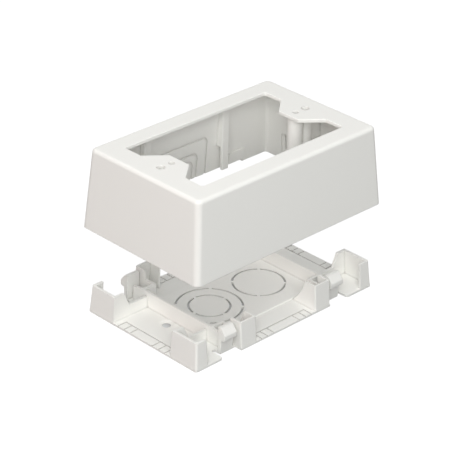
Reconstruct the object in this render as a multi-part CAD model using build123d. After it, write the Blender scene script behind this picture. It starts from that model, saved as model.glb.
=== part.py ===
"""Surface outlet box: a moulded cover lifted off its moulded base (millimetres, +Z up).

The origin is the middle of the base's underside. The long side runs along X.
The cover stands LIFT above the base and comes straight down over it.
"""
from build123d import *
import os
from math import radians, tan

# Overall sizes of the cover
COVER_LENGTH = 126.0
COVER_WIDTH = 81.5
COVER_HEIGHT = 42.2
WALL = 1.8
FRONT_THICKNESS = 1.8
DRAFT = 4.5
COVER_CORNER = 3.0
COVER_INNER_CORNER = 1.4
FRONT_EDGE_ROUND = 2.0
LIFT = 47.8

# Front opening and the two ears that take the device and the faceplate
OPENING_LENGTH = 94.0
OPENING_WIDTH = 53.4
OPENING_CORNER = 1.2
OPENING_EDGE_ROUND = 0.4
EAR_TIP_X = 36.5
EAR_TIP_HALF = 6.7
EAR_ROOT_HALF = 15.5
EAR_CORNER = 0.8
DEVICE_HOLE_PITCH = 83.34
DEVICE_HOLE_D = 3.2
PLATE_HOLE_PITCH = 96.84
PLATE_HOLE_D = 4.2

# Screw bosses behind the ears
BOSS_D = 7.8
BOSS_FOOT_Z = 12.0
BOSS_HOLE_DEPTH = 18.0
REAR_BOSS_D = 7.6
WEB_THICKNESS = 1.8
WEB_FOOT_Z = 24.0

# Guide posts on the cover's long walls, each with a tongue that enters a tower of the base
POST_INNER_X = 24.1
POST_OUTER_X = 28.6
POST_FACE_Y = 33.2
POST_CORNER = 0.4
TONGUE_THICKNESS = 1.4
TONGUE_FOOT_Z = 3.5
RELIEF_GAP = 1.2

# Ribs on the inside of the cover's end walls, and the catches for the snap arms
RIB_DEPTH = 3.0
RIB_CLEARANCE = 0.4
RIB_BLADE = 1.2
PAD_DEPTH = 1.1
END_PAD_WIDTH = 6.2
CATCH_DEPTH = 0.85
CATCH_TOP_Z = 8.2
CATCH_FOOT_Z = 1.9
CATCH_RUN_OUT = 3.4
EDGE_NOTCH_DEPTH = 1.8
EDGE_NOTCH_HALF = 44.0

# Raceway outlines thinned into the cover's walls: half width and height of each
OUTLINES = ((17.6, 24.0), (11.4, 16.8), (8.3, 13.2))
OUTLINE_CORNER = 4.2
OUTLINE_GROOVE = 1.1
OUTLINE_DEPTH = 0.6

# Shallow panels and short slots on the inside of the end walls
PANEL_Y = (22.5, 27.0)
PANEL_DEPTH = 0.4
SLOT_Y = (23.8, 24.4)
SLOT_Z = (6.4, 16.0)
SLOT_DEPTH = 0.9

# Base plate and its raised tray floor
FIT = 0.2
PLATE_THICKNESS = 1.2
TRAY_RAISE = 0.8
TRAY_WIDTH = 45.6
TRAY_ROUND = 0.6
BASE_CORNER = 1.2
BASE_WALL = 1.5

# Corner blocks that stand inside the cover's corners
BLOCK_HEIGHT = 14.8
BLOCK_Y = 20.5
BLOCK_RETURN_X = 53.4
CROSS_FULL_X = 53.6
CROSS_LOW_X = 50.3
CROSS_LOW_HEIGHT = 7.4

# Rim at each end of the tray, stepped in around the snap arms
RIM_X = 38.3
RIM_HEIGHT = 9.8
RIM_CORNER_Y = 25.2
RIM_RETURN_Y = 31.0
RIM_RETURN_HEIGHT = 8.8

# U shaped towers that frame the raceway entries
TOWER_INNER_X = 20.6
TOWER_OUTER_X = 31.0
TOWER_Y = 30.5
TOWER_WALL = 1.1
TOWER_CORNER = 0.8
GUSSET_KNEE_Y = 27.0
GUSSET_KNEE_Z = 6.4
GUSSET_TOE_Y = 23.2

# Snap arms
ARM_GAP = 2.0
ARM_WIDTH = 8.0
ARM_FACE_Y = 34.4
ARM_THICKNESS = 1.8
ARM_HEIGHT = 14.6
NOSE_TIP_Y = 37.3
NOSE_FOOT_Z = 7.8
NOSE_TOP_Z = 11.0
NOSE_ROUND = 1.2
NOTCH_MARGIN = 2.3
SLIT_Y = 30.5
NOTCH_CORNER = 1.5

# Knockouts in the tray floor: centre along X, diameter and angle of the first of four bridges
KNOCKOUTS = ((-15.45, 34.6, 45), (-15.45, 22.0, 0), (19.05, 28.0, 45))
KNOCKOUT_SLOT = 1.1
KNOCKOUT_BRIDGE = 1.5

# Break-off score lines in the channels
SCORE_WIDTH = 0.6
SCORE_DEPTH = 0.75
SIDE_SCORE_Y = 33.4
SIDE_SCORE_HALVES = (17.3, 13.4, 8.9)
END_SCORE_X = 55.6
END_SCORE_HALVES = (16.8, 12.4, 8.0)

# Wall screws
WALL_HOLE_X = 42.2
WALL_HOLE_Y = 2.4
WALL_HOLE_D = 4.4
WALL_SINK_D = 7.6
WALL_SINK_DEPTH = 0.9

LEAN = tan(radians(DRAFT))
BASE_LENGTH = COVER_LENGTH - 2 * (WALL + FIT)
BASE_WIDTH = COVER_WIDTH - 2 * (WALL + FIT)
ARM_X = TOWER_OUTER_X + ARM_GAP
ARM_END_X = ARM_X + ARM_WIDTH
NOTCH_END_X = ARM_END_X + NOTCH_MARGIN
TRAY_TOP = PLATE_THICKNESS + TRAY_RAISE
CORNERS = ((1, 1), (-1, 1), (-1, -1), (1, -1))
MARGIN = 5.0


def drafted_block(length, width, height, radius, inset=0.0):
    """A block from z = 0 whose four sides lean in by the draft, set in by inset all round."""
    block = extrude(Rectangle(length - 2 * inset, width - 2 * inset), height, taper=DRAFT)
    corners = block.edges().filter_by(lambda edge: abs(edge.center().Z - height / 2) < height / 4)
    return fillet(corners, radius)


def zone(x0, x1, y0, y1, z0, z1):
    """A box between two corners."""
    size = (x1 - x0, y1 - y0, z1 - z0)
    return Pos((x0 + x1) / 2, (y0 + y1) / 2, (z0 + z1) / 2) * Box(*size)


def corner_zone(sx, sy, x0, x1, y0, y1, z0, z1):
    """A box given in the +X +Y quarter and put into the quarter with signs sx, sy."""
    xs = sorted((sx * x0, sx * x1))
    ys = sorted((sy * y0, sy * y1))
    return zone(*xs, *ys, z0, z1)


def prism_x(points, x0, x1):
    """A closed outline of (y, z) points, run along X from x0 to x1."""
    face = make_face(Polyline(*[(x0, y, z) for y, z in points], close=True))
    return extrude(face, x1 - x0, dir=(1, 0, 0))


def prism_y(points, y0, y1):
    """A closed outline of (x, z) points, run along Y from y0 to y1."""
    face = make_face(Polyline(*[(x, y0, z) for x, z in points], close=True))
    return extrude(face, y1 - y0, dir=(0, 1, 0))


def cover_cavity(inset=0.0):
    """The hollow of the cover, as deep as the back of its front."""
    return drafted_block(COVER_LENGTH - 2 * WALL, COVER_WIDTH - 2 * WALL,
                         COVER_HEIGHT - FRONT_THICKNESS, COVER_INNER_CORNER, inset)


def opening_sketch():
    """The front opening: a rectangle less the two ears."""
    half = OPENING_LENGTH / 2
    ear_right = make_face(Polyline((half, -EAR_ROOT_HALF), (EAR_TIP_X, -EAR_TIP_HALF),
                                   (EAR_TIP_X, EAR_TIP_HALF), (half, EAR_ROOT_HALF),
                                   (half + MARGIN, EAR_ROOT_HALF), (half + MARGIN, -EAR_ROOT_HALF),
                                   close=True))
    ear_left = mirror(ear_right, about=Plane.YZ)
    opening = RectangleRounded(OPENING_LENGTH, OPENING_WIDTH, OPENING_CORNER)
    opening = opening - ear_right - ear_left
    tips = [v for v in opening.vertices() if abs(abs(v.X) - EAR_TIP_X) < 0.01]
    return fillet(tips, EAR_CORNER)


def outline_grooves():
    """Inverted U grooves, cut into the inside of all four walls."""
    grooves = []
    for half, height in OUTLINES:
        middle = Pos(0, (height - MARGIN) / 2)
        width = 2 * half
        full = height + MARGIN
        outer = RectangleRounded(width, full, OUTLINE_CORNER)
        inner = RectangleRounded(width - 2 * OUTLINE_GROOVE, full - 2 * OUTLINE_GROOVE,
                                 OUTLINE_CORNER - OUTLINE_GROOVE)
        ring = middle * outer - middle * inner
        grooves.append(extrude(Plane.XZ * ring, COVER_WIDTH, both=True))
        grooves.append(extrude(Plane.YZ * ring, COVER_LENGTH, both=True))
    layer = cover_cavity(-OUTLINE_DEPTH) - zone(-COVER_LENGTH, COVER_LENGTH, -COVER_WIDTH, COVER_WIDTH,
                                                COVER_HEIGHT / 2 + MARGIN, COVER_HEIGHT + MARGIN)
    grooves = grooves[0].fuse(*grooves[1:])
    return grooves & layer


def guide_posts():
    """Upright posts on the long walls; below the towers' tops each runs on as a free tongue."""
    top = COVER_HEIGHT - FRONT_THICKNESS
    low = BLOCK_HEIGHT + RELIEF_GAP
    tongue_y = POST_FACE_Y + TONGUE_THICKNESS
    post = zone(POST_INNER_X, POST_OUTER_X, POST_FACE_Y, COVER_WIDTH / 2, low, top) & cover_cavity()
    post += zone(POST_INNER_X, POST_OUTER_X, POST_FACE_Y, tongue_y, TONGUE_FOOT_Z, top)
    corners = post.edges().filter_by(Axis.Z).filter_by(lambda edge: abs(edge.center().Y - POST_FACE_Y) < 0.01)
    post = fillet(corners, POST_CORNER)
    return [quarter(post, sx, sy) for sx, sy in CORNERS]


def inner_ribs():
    """Locating ribs beside the corner blocks, and the catches for the snap arms."""
    top = COVER_HEIGHT - FRONT_THICKNESS
    low = BLOCK_HEIGHT + RELIEF_GAP
    end_blade_y = BLOCK_Y - RIB_CLEARANCE - RIB_BLADE
    far_x = COVER_LENGTH / 2
    far_y = COVER_WIDTH / 2
    cavity = cover_cavity()
    layers = {depth: cavity - cover_cavity(depth) for depth in (RIB_DEPTH, PAD_DEPTH, CATCH_DEPTH)}
    pieces = []
    for sx, sy in CORNERS:
        end_blade = corner_zone(sx, sy, far_x / 2, far_x, end_blade_y, end_blade_y + RIB_BLADE,
                                PLATE_THICKNESS + RIB_CLEARANCE, top)
        end_pad = corner_zone(sx, sy, far_x / 2, far_x, end_blade_y, end_blade_y + END_PAD_WIDTH, low, top)
        catch = corner_zone(sx, sy, ARM_X + RIB_CLEARANCE, ARM_END_X + CATCH_RUN_OUT, far_y / 2, far_y,
                            CATCH_FOOT_Z, CATCH_TOP_Z)
        pieces += [end_blade & layers[RIB_DEPTH], end_pad & layers[PAD_DEPTH], catch & layers[CATCH_DEPTH]]
    return pieces


def end_wall_reliefs():
    """The shallow panels and short slots cut into the inside of the end walls."""
    far_x = COVER_LENGTH / 2
    panel_layer = cover_cavity(-PANEL_DEPTH)
    slot_layer = cover_cavity(-SLOT_DEPTH)
    cuts = []
    for sx, sy in CORNERS:
        cuts.append(corner_zone(sx, sy, far_x / 2, far_x, *PANEL_Y, -MARGIN, BLOCK_HEIGHT) & panel_layer)
        cuts.append(corner_zone(sx, sy, far_x / 2, far_x, *SLOT_Y, *SLOT_Z) & slot_layer)
    return cuts


def ear_bosses():
    """A screw boss, a rear boss and the web that ties them to the end wall, behind each ear."""
    top = COVER_HEIGHT - FRONT_THICKNESS
    solids = []
    for side in (-1, 1):
        device_x = side * DEVICE_HOLE_PITCH / 2
        plate_x = side * PLATE_HOLE_PITCH / 2
        length = top - BOSS_FOOT_Z
        solids.append(Pos(device_x, 0, BOSS_FOOT_Z + length / 2) * Cylinder(BOSS_D / 2, length))
        rear = top - WEB_FOOT_Z
        solids.append(Pos(plate_x, 0, WEB_FOOT_Z + rear / 2) * Cylinder(REAR_BOSS_D / 2, rear))
        xs = sorted((device_x, side * COVER_LENGTH / 2))
        web = zone(*xs, -WEB_THICKNESS / 2, WEB_THICKNESS / 2, WEB_FOOT_Z, top)
        solids.append(web & cover_cavity())
    return solids


def make_cover():
    """The cover in its own frame, with its lower edge at z = 0."""
    body = drafted_block(COVER_LENGTH, COVER_WIDTH, COVER_HEIGHT, COVER_CORNER)
    body = fillet(body.faces().sort_by(Axis.Z)[-1].edges(), FRONT_EDGE_ROUND)
    body -= cover_cavity()
    body -= outline_grooves()
    for cut in end_wall_reliefs():
        body -= cut
    body -= zone(-EDGE_NOTCH_HALF, EDGE_NOTCH_HALF, 0, COVER_WIDTH, -MARGIN, EDGE_NOTCH_DEPTH)
    body -= Pos(0, 0, COVER_HEIGHT - FRONT_THICKNESS - MARGIN) * extrude(opening_sketch(), 2 * MARGIN)
    rim = body.edges().filter_by(lambda edge: abs(edge.center().Z - COVER_HEIGHT) < 0.01
                                 and abs(edge.center().X) < (OPENING_LENGTH + WALL) / 2
                                 and abs(edge.center().Y) < (OPENING_WIDTH + WALL) / 2)
    body = fillet(rim, OPENING_EDGE_ROUND)
    body = body.fuse(*guide_posts(), *inner_ribs(), *ear_bosses())
    for side in (-1, 1):
        device = Pos(side * DEVICE_HOLE_PITCH / 2, 0, COVER_HEIGHT)
        plate = Pos(side * PLATE_HOLE_PITCH / 2, 0, COVER_HEIGHT)
        body -= device * Cylinder(DEVICE_HOLE_D / 2, 2 * BOSS_HOLE_DEPTH)
        body -= plate * Cylinder(PLATE_HOLE_D / 2, 2 * BOSS_HOLE_DEPTH)
    return body


def base_envelope(inset=0.0):
    """The drafted outer form that the corner blocks and towers follow inside the cover."""
    return drafted_block(BASE_LENGTH, BASE_WIDTH, BLOCK_HEIGHT, BASE_CORNER, inset)


def plate_sketch():
    """The base's outline, notched at the snap arms."""
    outline = RectangleRounded(BASE_LENGTH, BASE_WIDTH, BASE_CORNER)
    far_y = BASE_WIDTH / 2
    notch = Rectangle(NOTCH_END_X - TOWER_OUTER_X, far_y + MARGIN - ARM_FACE_Y)
    slit = Rectangle(NOTCH_END_X - ARM_END_X, far_y - SLIT_Y)
    for sx, sy in CORNERS:
        outline -= Pos(sx * (TOWER_OUTER_X + NOTCH_END_X) / 2, sy * (ARM_FACE_Y + far_y + MARGIN) / 2) * notch
        outline -= Pos(sx * (ARM_END_X + NOTCH_END_X) / 2, sy * (SLIT_Y + far_y) / 2) * slit
    tips = [v for v in outline.vertices()
            if abs(abs(v.X) - NOTCH_END_X) < 0.01 and abs(abs(v.Y) - far_y) < 0.01]
    return fillet(tips, NOTCH_CORNER)


def make_plate():
    """The flat plate with the knockout tray raised in its middle."""
    plate = extrude(plate_sketch(), PLATE_THICKNESS)
    tray = zone(-RIM_X, RIM_X, -TRAY_WIDTH / 2, TRAY_WIDTH / 2, 0, TRAY_TOP)
    tray = fillet(tray.faces().sort_by(Axis.Z)[-1].edges().filter_by(Axis.X), TRAY_ROUND)
    far_x = RIM_X - BASE_WALL
    far_y = TRAY_WIDTH / 2 - BASE_WALL
    recess = zone(-far_x, far_x, -far_y, far_y, -MARGIN, TRAY_RAISE)
    return plate + tray - recess


def knockout_slots():
    """Ring slots through the tray floor, each broken by four bridges that hold the knockout."""
    slots = []
    for x, diameter, first in KNOCKOUTS:
        ring = Circle(diameter / 2) - Circle(diameter / 2 - KNOCKOUT_SLOT)
        bridge = Pos(diameter / 2, 0) * Rectangle(2 * MARGIN, KNOCKOUT_BRIDGE)
        for turn in (0, 90, 180, 270):
            ring -= Rot(0, 0, first + turn) * bridge
        slots.append(Pos(x, 0, -MARGIN) * extrude(ring, TRAY_TOP + 2 * MARGIN))
    return slots


def score_lines():
    """Straight score lines that frame the break-off pieces at the four raceway entries."""
    lines = []
    z0 = PLATE_THICKNESS - SCORE_DEPTH
    z1 = PLATE_THICKNESS + MARGIN
    w = SCORE_WIDTH / 2
    for side in (-1, 1):
        half = SIDE_SCORE_HALVES[0]
        y = side * SIDE_SCORE_Y
        lines.append(zone(-half - w, half + w, y - w, y + w, z0, z1))
        ys = sorted((y, side * BASE_WIDTH))
        for x in SIDE_SCORE_HALVES:
            lines += [zone(x - w, x + w, *ys, z0, z1), zone(-x - w, -x + w, *ys, z0, z1)]
        half = END_SCORE_HALVES[0]
        x = side * END_SCORE_X
        lines.append(zone(x - w, x + w, -half - w, half + w, z0, z1))
        xs = sorted((x, side * BASE_LENGTH))
        for y in END_SCORE_HALVES:
            lines += [zone(*xs, y - w, y + w, z0, z1), zone(*xs, -y - w, -y + w, z0, z1)]
    return lines


def wall_screw_holes():
    """Countersunk holes in the end channels, for screwing the base to the wall."""
    holes = []
    sink_foot = PLATE_THICKNESS - WALL_SINK_DEPTH
    for side in (-1, 1):
        place = Pos(side * WALL_HOLE_X, WALL_HOLE_Y, 0)
        holes.append(place * Cylinder(WALL_HOLE_D / 2, 2 * MARGIN))
        cone = Cone(WALL_HOLE_D / 2, WALL_SINK_D / 2, WALL_SINK_DEPTH)
        holes.append(place * Pos(0, 0, sink_foot + WALL_SINK_DEPTH / 2) * cone)
    return holes


def corner_blocks():
    """Two outer walls and a cross wall at each corner."""
    skin = base_envelope() - base_envelope(BASE_WALL)
    far_x = BASE_LENGTH / 2
    far_y = BASE_WIDTH / 2
    solids = []
    cross_points = ((far_x, 0), (far_x, BLOCK_HEIGHT), (CROSS_FULL_X, BLOCK_HEIGHT),
                    (CROSS_LOW_X, CROSS_LOW_HEIGHT), (RIM_X - BASE_WALL / 2, CROSS_LOW_HEIGHT),
                    (RIM_X - BASE_WALL / 2, 0))
    cross = prism_y(cross_points, BLOCK_Y, BLOCK_Y + BASE_WALL) & base_envelope()
    for sx, sy in CORNERS:
        solids.append(skin & corner_zone(sx, sy, BLOCK_RETURN_X, far_x, BLOCK_Y, far_y, 0, BLOCK_HEIGHT))
        solids.append(quarter(cross, sx, sy))
    return solids


def quarter(solid, sx, sy):
    """A copy of a solid drawn in the +X +Y quarter, mirrored into another quarter."""
    if sx < 0:
        solid = mirror(solid, about=Plane.YZ)
    if sy < 0:
        solid = mirror(solid, about=Plane.XZ)
    return solid


def rims():
    """The end rims, their inward steps around the snap arms and the low returns beside the arms."""
    inner = RIM_X - BASE_WALL
    return_points = ((RIM_CORNER_Y - BASE_WALL, 0), (RIM_CORNER_Y - BASE_WALL, RIM_HEIGHT),
                     (RIM_CORNER_Y, RIM_HEIGHT), (RIM_RETURN_Y, RIM_RETURN_HEIGHT), (RIM_RETURN_Y, 0))
    low_return = prism_x(return_points, inner, RIM_X)
    solids = []
    for side in (-1, 1):
        xs = sorted((side * inner, side * RIM_X))
        solids.append(zone(*xs, -RIM_CORNER_Y, RIM_CORNER_Y, 0, RIM_HEIGHT))
    for sx, sy in CORNERS:
        solids.append(corner_zone(sx, sy, TOWER_OUTER_X - BASE_WALL, RIM_X,
                                  RIM_CORNER_Y - BASE_WALL, RIM_CORNER_Y, 0, RIM_HEIGHT))
        solids.append(corner_zone(sx, sy, TOWER_OUTER_X - BASE_WALL, TOWER_OUTER_X,
                                  RIM_CORNER_Y - BASE_WALL, TOWER_Y + BASE_WALL, 0, RIM_HEIGHT))
        solids.append(quarter(low_return, sx, sy))
    return solids


def towers():
    """U shaped towers, open towards the tray; the near pair is braced by curved gussets."""
    far_y = BASE_WIDTH / 2
    middle = (TOWER_INNER_X + TOWER_OUTER_X) / 2
    width = TOWER_OUTER_X - TOWER_INNER_X
    depth = far_y - TOWER_Y + MARGIN
    block = Pos(middle, TOWER_Y + depth / 2, BLOCK_HEIGHT / 2) * Box(width, depth, BLOCK_HEIGHT)
    block = block & base_envelope()
    well = zone(TOWER_INNER_X + TOWER_WALL, TOWER_OUTER_X - TOWER_WALL, TOWER_Y - MARGIN, far_y,
                PLATE_THICKNESS, BLOCK_HEIGHT + MARGIN) & base_envelope(TOWER_WALL)
    open_tower = block - well
    outer_edges = open_tower.edges().filter_by(lambda e: e.center().Y > TOWER_Y + 2 * BASE_WALL
                                               and abs(e.center().Z - BLOCK_HEIGHT / 2) < 1
                                               and e.length > BLOCK_HEIGHT - 1
                                               and min(abs(e.center().X - TOWER_INNER_X),
                                                       abs(e.center().X - TOWER_OUTER_X)) < 0.2)
    open_tower = fillet(outer_edges, TOWER_CORNER)
    gusset_face = make_face(
        [Line((TOWER_INNER_X, TOWER_Y, 0), (TOWER_INNER_X, TOWER_Y, BLOCK_HEIGHT)),
         ThreePointArc((TOWER_INNER_X, TOWER_Y, BLOCK_HEIGHT), (TOWER_INNER_X, GUSSET_KNEE_Y, GUSSET_KNEE_Z),
                       (TOWER_INNER_X, GUSSET_TOE_Y, TRAY_TOP)),
         Line((TOWER_INNER_X, GUSSET_TOE_Y, TRAY_TOP), (TOWER_INNER_X, GUSSET_TOE_Y, 0)),
         Line((TOWER_INNER_X, GUSSET_TOE_Y, 0), (TOWER_INNER_X, TOWER_Y, 0))])
    gusset = extrude(gusset_face, BASE_WALL, dir=(1, 0, 0))
    solids = [quarter(open_tower, sx, sy) for sx, sy in CORNERS]
    solids += [quarter(gusset, 1, -1), quarter(gusset, -1, -1)]
    return solids


def snap_arms():
    """Upright arms with a rounded outward nose and a sloped lead-in."""
    root_y = ARM_FACE_Y - ARM_THICKNESS
    lean_y = ARM_FACE_Y + NOSE_FOOT_Z * LEAN
    profile = make_face(Polyline((ARM_X, root_y, 0), (ARM_X, ARM_FACE_Y, 0), (ARM_X, lean_y, NOSE_FOOT_Z),
                                 (ARM_X, NOSE_TIP_Y, NOSE_FOOT_Z), (ARM_X, NOSE_TIP_Y, NOSE_TOP_Z),
                                 (ARM_X, ARM_FACE_Y, ARM_HEIGHT), (ARM_X, root_y, ARM_HEIGHT), close=True))
    arm = extrude(profile, ARM_WIDTH, dir=(1, 0, 0))
    nose_edges = arm.edges().filter_by(Axis.X).filter_by(lambda e: abs(e.center().Y - NOSE_TIP_Y) < 0.01)
    arm = fillet(nose_edges, NOSE_ROUND)
    return [quarter(arm, sx, sy) for sx, sy in CORNERS]


def make_base():
    """The base in place, with its underside at z = 0."""
    base = make_plate()
    base = base.fuse(*corner_blocks(), *rims(), *towers(), *snap_arms())
    for cut in knockout_slots() + score_lines() + wall_screw_holes():
        base -= cut
    return base


def write(solid, name, label):
    """Write one node as a STEP file."""
    solid.label = label
    export_step(solid, os.path.join("parts", name + ".step"))


os.makedirs("parts", exist_ok=True)
write(make_base(), "base", "base")
write(Pos(0, 0, LIFT) * make_cover(), "cover", "cover")
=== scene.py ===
"""The surface outlet box: its moulded cover held above its base, on a pale floor in soft studio light."""
from math import cos, radians, sin

import bmesh
import bpy
from mathutils import Matrix, Vector


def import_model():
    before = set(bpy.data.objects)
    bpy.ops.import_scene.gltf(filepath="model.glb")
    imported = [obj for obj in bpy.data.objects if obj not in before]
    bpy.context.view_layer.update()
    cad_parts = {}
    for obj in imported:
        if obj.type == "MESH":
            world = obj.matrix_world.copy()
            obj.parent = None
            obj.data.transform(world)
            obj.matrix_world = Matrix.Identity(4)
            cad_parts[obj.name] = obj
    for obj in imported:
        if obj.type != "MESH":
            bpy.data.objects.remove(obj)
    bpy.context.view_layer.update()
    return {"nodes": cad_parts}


MM = 0.001
WHITE = (1, 1, 1, 1)

# Camera, fitted to the cover's corners in the photograph with the cover's lower edge at height 0
PHOTO_WIDTH_PX = 458
FOCAL_PX = 2062
SENSOR_MM = 36.0
CAMERA_AZIMUTH = -44.70
CAMERA_ELEVATION = 28.51
CAMERA_ROLL = 1.24
CAMERA_DISTANCE_MM = 1012.0
CAMERA_SHIFT_MM = (2.20, 7.22)
CAMERA_CLIP_END = 20
COVER_LIFT_MM = 47.8

# Light: the sky as a share of white, then each lamp's name, place and size in metres, watts and colour
SKY = 0.34
AIM = (0.0, 0.0, 0.045)
LAMPS = (
    ("key", (-0.75, -0.35, 1.25), 1.1, 4.0, (0.99, 1.0, 0.985)),
    ("over", (-0.30, -0.30, 1.40), 0.9, 3.5, (0.99, 1.0, 0.985)),
    ("front", (-0.90, -1.02, 0.85), 1.1, 13.7, (0.995, 1.0, 0.98)),
    ("left", (-1.40, 0.20, 0.35), 0.9, 1.8, (1.0, 0.58, 0.50)),
)

# Floor, in metres. The gap keeps it clear of the base's underside
FLOOR_SIZE = 8.0
FLOOR_GAP = 0.05 * MM
FLOOR_GREY = 0.17
FLOOR_GLOW = 0.95
# The painted shadow under the base: the share of the glow left under the tray, and the half sizes in x and y
# between which it rises to the whole
SHADE_GLOW = 0.30
SHADE_SIZE = ((0.040, 0.052), (0.024, 0.034))

# Plastic, with linear colours
OFF_WHITE = (0.955, 0.951, 0.924)
CLOUD_SHADE = 0.985
CLOUDS_PER_METRE = 28
COVER_ROUGHNESS = 0.58
BASE_ROUGHNESS = 0.60
ROUGHNESS_SPREAD = 0.05
REFRACTIVE_INDEX = 1.5
SPECULAR_LEVEL = 0.35
GRAIN_DEPTH = 0.03 * MM
GRAIN_STRENGTH = 0.5
GRAINS_PER_METRE = 2600.0
RIPPLES_PER_METRE = 55.0
RIPPLE_SHARE = 0.5

# Edges: a painted highlight, paler where the rounding tilts the normal; the cosine of that tilt where the
# painted highlight starts and where it is full
PAINTED_EDGE_HIGHLIGHT = (0.965, 0.962, 0.943)
EDGE_WIDTH = 0.4 * MM
EDGE_START = 0.995
EDGE_FULL = 0.80

# Grooves and corners: painted shade from the open share of the surroundings, where the painted shade is full
# and where it ends
CREVICE_PAINTED_SHADE = (0.72, 0.71, 0.68)
CREVICE_REACH = 1.5 * MM
CREVICE_CLOSED = 0.30
CREVICE_OPEN = 0.85


def add_camera():
    """The photograph's camera. Its x, y and backward directions come from three angles."""
    azimuth = radians(CAMERA_AZIMUTH)
    elevation = radians(CAMERA_ELEVATION)
    roll = radians(CAMERA_ROLL)
    backward = Vector((sin(azimuth) * cos(elevation), -cos(azimuth) * cos(elevation), sin(elevation)))
    level = Vector((cos(azimuth), sin(azimuth), 0))
    upright = backward.cross(level)
    right = cos(roll) * level + sin(roll) * upright
    up = cos(roll) * upright - sin(roll) * level
    place = CAMERA_DISTANCE_MM * backward - CAMERA_SHIFT_MM[0] * right - CAMERA_SHIFT_MM[1] * up
    place.z += COVER_LIFT_MM
    camera = bpy.data.objects.new("camera", bpy.data.cameras.new("camera"))
    camera.data.sensor_width = SENSOR_MM
    camera.data.lens = SENSOR_MM * FOCAL_PX / PHOTO_WIDTH_PX
    camera.data.clip_end = CAMERA_CLIP_END
    turn = Matrix((right, up, backward)).transposed().to_4x4()
    camera.matrix_world = Matrix.Translation(place * MM) @ turn
    bpy.context.scene.collection.objects.link(camera)
    bpy.context.scene.camera = camera


def feed(tree, socket, value):
    """Give a socket a number, a colour or another node's output."""
    if isinstance(value, bpy.types.NodeSocket):
        tree.links.new(value, socket)
    else:
        socket.default_value = value


def compute(tree, operation, *values):
    """The result of a math node."""
    node = tree.nodes.new("ShaderNodeMath")
    node.operation = operation
    for socket, value in zip(node.inputs, values):
        feed(tree, socket, value)
    return node.outputs[0]


def ramp(tree, value, start, end, low=0.0, high=1.0):
    """The numbers from low to high as a value goes from start to end, and level outside them."""
    node = tree.nodes.new("ShaderNodeMapRange")
    feed(tree, node.inputs["Value"], value)
    feed(tree, node.inputs["From Min"], start)
    feed(tree, node.inputs["From Max"], end)
    feed(tree, node.inputs["To Min"], low)
    feed(tree, node.inputs["To Max"], high)
    return node.outputs["Result"]


def blend(tree, factor, first, second):
    """The colour between two colours, the first at factor 0 and the second at 1."""
    node = tree.nodes.new("ShaderNodeMix")
    node.data_type = "RGBA"
    feed(tree, node.inputs["Factor"], factor)
    feed(tree, node.inputs["A"], first)
    feed(tree, node.inputs["B"], second)
    return node.outputs["Result"]


def seen_directly(tree):
    """A value of 1 for rays that show the background: from the camera, in gloss or through glass."""
    path = tree.nodes.new("ShaderNodeLightPath")
    shown = compute(tree, "MAXIMUM", path.outputs["Is Camera Ray"], path.outputs["Is Glossy Ray"])
    return compute(tree, "MAXIMUM", shown, path.outputs["Is Transmission Ray"])


def add_world():
    """An even pale sky that shows as plain white behind the object."""
    world = bpy.data.worlds.new("studio")
    world.use_nodes = True
    tree = world.node_tree
    nodes = tree.nodes
    links = tree.links
    nodes.clear()
    sky = nodes.new("ShaderNodeBackground")
    sky.inputs["Color"].default_value = WHITE
    sky.inputs["Strength"].default_value = SKY
    white = nodes.new("ShaderNodeBackground")
    white.inputs["Color"].default_value = WHITE
    white.inputs["Strength"].default_value = 1.0
    mix = nodes.new("ShaderNodeMixShader")
    output = nodes.new("ShaderNodeOutputWorld")
    links.new(seen_directly(tree), mix.inputs[0])
    links.new(sky.outputs[0], mix.inputs[1])
    links.new(white.outputs[0], mix.inputs[2])
    links.new(mix.outputs[0], output.inputs["Surface"])
    bpy.context.scene.world = world


def add_lamp(name, place, size, power, colour):
    """A square soft box that looks at the object."""
    light = bpy.data.lights.new(name, "AREA")
    light.size = size
    light.energy = power
    light.color = colour
    lamp = bpy.data.objects.new(name, light)
    lamp.location = place
    lamp.rotation_euler = (Vector(place) - Vector(AIM)).to_track_quat("Z", "Y").to_euler()
    bpy.context.scene.collection.objects.link(lamp)


def painted_base_shadow(tree):
    """A painted shadow: a value of 1 on the open floor that falls off under the base, to SHADE_GLOW under its
    tray.
    """
    place = tree.nodes.new("ShaderNodeTexCoord")
    split = tree.nodes.new("ShaderNodeSeparateXYZ")
    tree.links.new(place.outputs["Object"], split.inputs[0])
    outside = []
    for axis, (near, far) in enumerate(SHADE_SIZE):
        distance = compute(tree, "ABSOLUTE", split.outputs[axis])
        outside.append(ramp(tree, distance, near, far, SHADE_GLOW))
    return compute(tree, "MAXIMUM", *outside)


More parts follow.
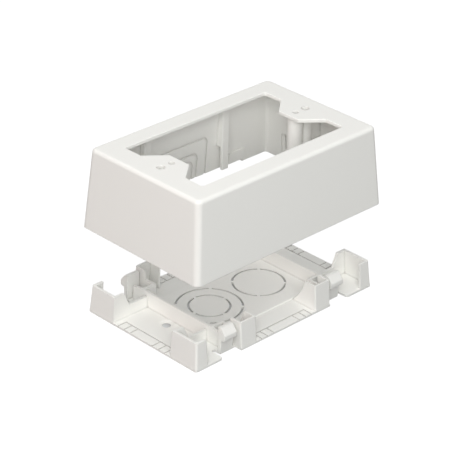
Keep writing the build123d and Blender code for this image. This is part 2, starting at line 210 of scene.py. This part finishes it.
def add_floor():
    """A pale floor that shows white around the object, with a painted shadow under the base that shows darker
    through its openings.
    """
    mesh = bpy.data.meshes.new("floor")
    shape = bmesh.new()
    bmesh.ops.create_grid(shape, x_segments=1, y_segments=1, size=FLOOR_SIZE / 2,
                          matrix=Matrix.Translation((0, 0, -FLOOR_GAP)))
    shape.to_mesh(mesh)
    shape.free()
    floor = bpy.data.objects.new("floor", mesh)
    bpy.context.scene.collection.objects.link(floor)
    material = bpy.data.materials.new("floor_paper")
    material.use_nodes = True
    tree = material.node_tree
    nodes = tree.nodes
    links = tree.links
    nodes.clear()
    paper = nodes.new("ShaderNodeBsdfDiffuse")
    paper.inputs["Color"].default_value = (FLOOR_GREY, FLOOR_GREY, FLOOR_GREY, 1)
    glow = nodes.new("ShaderNodeEmission")
    glow.inputs["Color"].default_value = WHITE
    shown = compute(tree, "MULTIPLY", seen_directly(tree), FLOOR_GLOW)
    # Painted shadow: the glow falls off under the base
    links.new(compute(tree, "MULTIPLY", shown, painted_base_shadow(tree)), glow.inputs["Strength"])
    both = nodes.new("ShaderNodeAddShader")
    output = nodes.new("ShaderNodeOutputMaterial")
    links.new(paper.outputs[0], both.inputs[0])
    links.new(glow.outputs[0], both.inputs[1])
    links.new(both.outputs[0], output.inputs["Surface"])
    mesh.materials.append(material)


def group(name, inputs, outputs):
    """An empty shader node group with named number inputs, and its two end nodes."""
    tree = bpy.data.node_groups.new(name, "ShaderNodeTree")
    for socket_name, default in inputs:
        socket = tree.interface.new_socket(name=socket_name, in_out="INPUT", socket_type="NodeSocketFloat")
        socket.default_value = default
    for socket_name, kind in outputs:
        tree.interface.new_socket(name=socket_name, in_out="OUTPUT", socket_type=kind)
    return tree, tree.nodes.new("NodeGroupInput"), tree.nodes.new("NodeGroupOutput")


def mould_texture_group():
    """The fine even texture that a spark-eroded mould leaves, with a slower ripple from cooling."""
    tree, start, end = group("mould_texture",
                             (("Grain per metre", GRAINS_PER_METRE), ("Ripple per metre", RIPPLES_PER_METRE),
                              ("Ripple share", RIPPLE_SHARE)),
                             (("Height", "NodeSocketFloat"),))
    nodes = tree.nodes
    links = tree.links
    place = nodes.new("ShaderNodeTexCoord")
    grain = nodes.new("ShaderNodeTexNoise")
    grain.inputs["Detail"].default_value = 3
    grain.inputs["Roughness"].default_value = 0.55
    ripple = nodes.new("ShaderNodeTexNoise")
    ripple.inputs["Detail"].default_value = 2
    for noise, scale in ((grain, "Grain per metre"), (ripple, "Ripple per metre")):
        links.new(place.outputs["Object"], noise.inputs["Vector"])
        links.new(start.outputs[scale], noise.inputs["Scale"])
    mix = nodes.new("ShaderNodeMix")
    links.new(start.outputs["Ripple share"], mix.inputs["Factor"])
    links.new(grain.outputs["Fac"], mix.inputs["A"])
    links.new(ripple.outputs["Fac"], mix.inputs["B"])
    links.new(mix.outputs["Result"], end.inputs["Height"])
    return tree


def edge_rounding_and_highlight_group():
    """A mask of sharp edges for a painted highlight, and the normal that rounds them."""
    tree, start, end = group("soft_edges_and_painted_highlight", (("Edge width", EDGE_WIDTH),),
                             (("Edge", "NodeSocketFloat"), ("Normal", "NodeSocketVector")))
    links = tree.links
    bevel = tree.nodes.new("ShaderNodeBevel")
    bevel.samples = 6
    flat = tree.nodes.new("ShaderNodeNewGeometry")
    tilt = tree.nodes.new("ShaderNodeVectorMath")
    tilt.operation = "DOT_PRODUCT"
    links.new(start.outputs["Edge width"], bevel.inputs["Radius"])
    links.new(bevel.outputs["Normal"], tilt.inputs[0])
    links.new(flat.outputs["True Normal"], tilt.inputs[1])
    links.new(ramp(tree, tilt.outputs["Value"], EDGE_START, EDGE_FULL), end.inputs["Edge"])
    links.new(bevel.outputs["Normal"], end.inputs["Normal"])
    return tree


def painted_crevice_shade_group():
    """A mask for painted shade: 1 on open surfaces, falling off in grooves, holes and tight inner corners."""
    tree, start, end = group("painted_crevice_shade",
                             (("Reach", CREVICE_REACH), ("Closed", CREVICE_CLOSED), ("Open", CREVICE_OPEN)),
                             (("Openness", "NodeSocketFloat"),))
    around = tree.nodes.new("ShaderNodeAmbientOcclusion")
    around.samples = 8
    around.only_local = True
    tree.links.new(start.outputs["Reach"], around.inputs["Distance"])
    openness = ramp(tree, around.outputs["AO"], start.outputs["Closed"], start.outputs["Open"])
    tree.links.new(openness, end.inputs["Openness"])
    return tree


def use_group(tree, inner):
    """A node that uses a shared group."""
    node = tree.nodes.new("ShaderNodeGroup")
    node.node_tree = inner
    return node


def moulded_plastic(name, roughness, texture, edges, painted_crevice_shade):
    """Warm off-white satin plastic with mould grain, cloudy tone, a painted highlight on edges and painted
    shade in grooves.
    """
    material = bpy.data.materials.new(name)
    material.use_nodes = True
    tree = material.node_tree
    nodes = tree.nodes
    links = tree.links
    shader = nodes["Principled BSDF"]
    shader.inputs["IOR"].default_value = REFRACTIVE_INDEX
    shader.inputs["Specular IOR Level"].default_value = SPECULAR_LEVEL
    grain = use_group(tree, texture)
    highlight_and_rounding = use_group(tree, edges)
    painted_shade = use_group(tree, painted_crevice_shade)
    place = nodes.new("ShaderNodeTexCoord")
    cloud = nodes.new("ShaderNodeTexNoise")
    cloud.inputs["Scale"].default_value = CLOUDS_PER_METRE
    cloud.inputs["Detail"].default_value = 3
    links.new(place.outputs["Object"], cloud.inputs["Vector"])
    shaded = (*[CLOUD_SHADE * share for share in OFF_WHITE], 1)
    cloudy = blend(tree, cloud.outputs["Fac"], shaded, (*OFF_WHITE, 1))
    # Painted highlight: edges take a paler colour
    highlighted_colour = blend(tree, highlight_and_rounding.outputs["Edge"], cloudy, (*PAINTED_EDGE_HIGHLIGHT, 1))
    # Painted shade: grooves, holes and inner corners take a darker colour
    links.new(blend(tree, painted_shade.outputs["Openness"], (*CREVICE_PAINTED_SHADE, 1), highlighted_colour), shader.inputs["Base Color"])
    gloss = ramp(tree, cloud.outputs["Fac"], 0, 1, roughness - ROUGHNESS_SPREAD, roughness + ROUGHNESS_SPREAD)
    links.new(gloss, shader.inputs["Roughness"])
    bump = nodes.new("ShaderNodeBump")
    bump.inputs["Strength"].default_value = GRAIN_STRENGTH
    bump.inputs["Distance"].default_value = GRAIN_DEPTH
    links.new(grain.outputs["Height"], bump.inputs["Height"])
    links.new(highlight_and_rounding.outputs["Normal"], bump.inputs["Normal"])
    links.new(bump.outputs["Normal"], shader.inputs["Normal"])
    return material


def dress(node, material):
    """Give a moulding its plastic."""
    node.data.materials.clear()
    node.data.materials.append(material)


def main():
    """The part under the photograph's camera, with lamps, floor and plastic."""
    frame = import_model()
    bpy.context.scene.view_settings.view_transform = "Standard"
    add_camera()
    add_world()
    for lamp in LAMPS:
        add_lamp(*lamp)
    add_floor()
    effects = (mould_texture_group(), edge_rounding_and_highlight_group(), painted_crevice_shade_group())
    nodes = frame["nodes"]
    dress(nodes["cover"], moulded_plastic("cover_plastic", COVER_ROUGHNESS, *effects))
    dress(nodes["base"], moulded_plastic("base_plastic", BASE_ROUGHNESS, *effects))


main()
